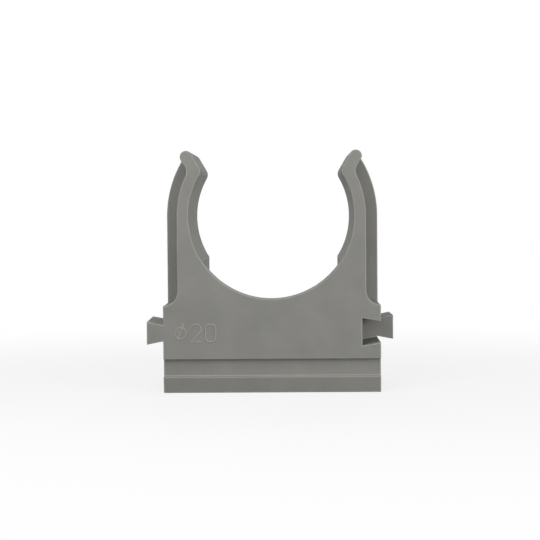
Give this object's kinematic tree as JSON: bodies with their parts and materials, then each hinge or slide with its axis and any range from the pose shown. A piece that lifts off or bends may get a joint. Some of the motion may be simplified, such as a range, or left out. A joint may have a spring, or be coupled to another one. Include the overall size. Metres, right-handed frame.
{
  "type": "conduit clip",
  "caption": "One-piece moulded snap-in clip that holds rigid conduit in a U-shaped cradle on a screw-down foot, with dovetails on its sides to join clips side by side.",
  "frame": {"origin": "middle of the clip's underside, on the wall that the foot rests on", "axes": "+X across the clip, +Y along the conduit with the flat front at -Y, +Z away from the wall, towards the open mouth"},
  "size_m": [0.0306, 0.016, 0.0295],
  "materials": {
    "grey_plastic": "satin moulded"
  },
  "bodies": {
    "root": {"conduit_clip": "grey_plastic"}
  },
  "joints": []
}
